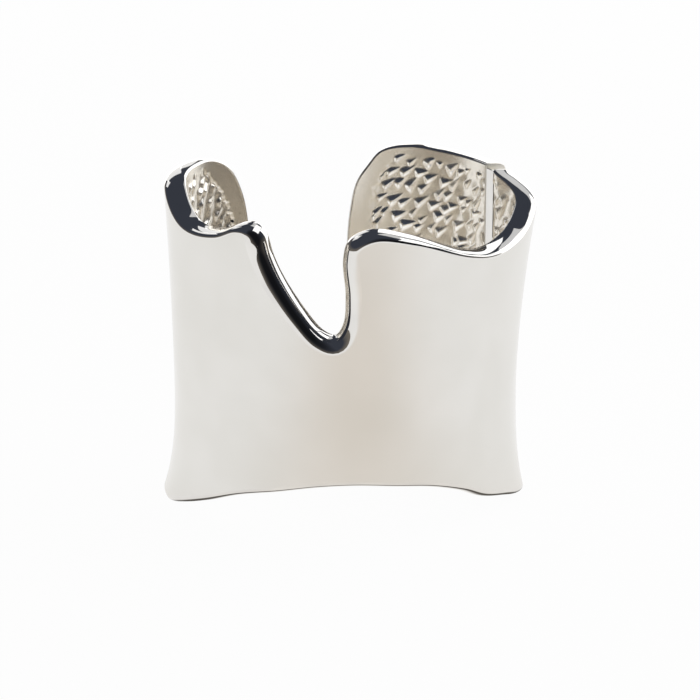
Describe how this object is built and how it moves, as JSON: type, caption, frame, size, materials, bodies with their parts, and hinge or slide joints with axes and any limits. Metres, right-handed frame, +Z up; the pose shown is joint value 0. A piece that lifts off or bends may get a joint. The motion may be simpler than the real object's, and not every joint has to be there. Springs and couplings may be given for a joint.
{
  "type": "hinged cuff bracelet",
  "caption": "Wide polished silver cuff bracelet with a deep front notch, thick rounded rim, hammered inside and a sprung hinged wing at the back.",
  "frame": {"origin": "on the surface it stands on, under the middle of its overall box", "axes": "+X to the right as seen from the front, +Y to the back where the wrist gap is, +Z up; the notched front faces -Y"},
  "size_m": [0.0648, 0.0528, 0.0579],
  "materials": {
    "polished_silver": "satin",
    "mirror_silver": "polished",
    "hammered_silver": "polished",
    "hinge_silver": "polished",
    "spring_steel": "satin"
  },
  "bodies": {
    "body": {"body_shell": "polished_silver", "body_liner": "hammered_silver", "body_top_rim": "mirror_silver", "body_bottom_rim": "mirror_silver", "body_end_rim": "mirror_silver", "body_hinge_plate": "hinge_silver", "body_knuckle_bottom": "hinge_silver", "body_knuckle_top": "hinge_silver", "hinge_pin": "hinge_silver", "pin_cap": "hinge_silver", "closing_spring": "spring_steel"},
    "wing": {"wing_shell": "polished_silver", "wing_liner": "hammered_silver", "wing_top_rim": "mirror_silver", "wing_bottom_rim": "mirror_silver", "wing_end_rim": "mirror_silver", "wing_hinge_plate": "hinge_silver", "wing_cover_strip": "hinge_silver", "wing_knuckle_lower": "hinge_silver", "wing_knuckle_upper": "hinge_silver"}
  },
  "joints": [
    {"name": "wing_hinge", "type": "hinge", "parent": "body", "child": "wing", "pos_m": [0.02697, 0.00583, 0.0285], "axis": [0, 0, -1], "range_deg": [0, 55], "stiffness_Nm_per_rad": 0.06, "springref_deg": -28.65}
  ]
}
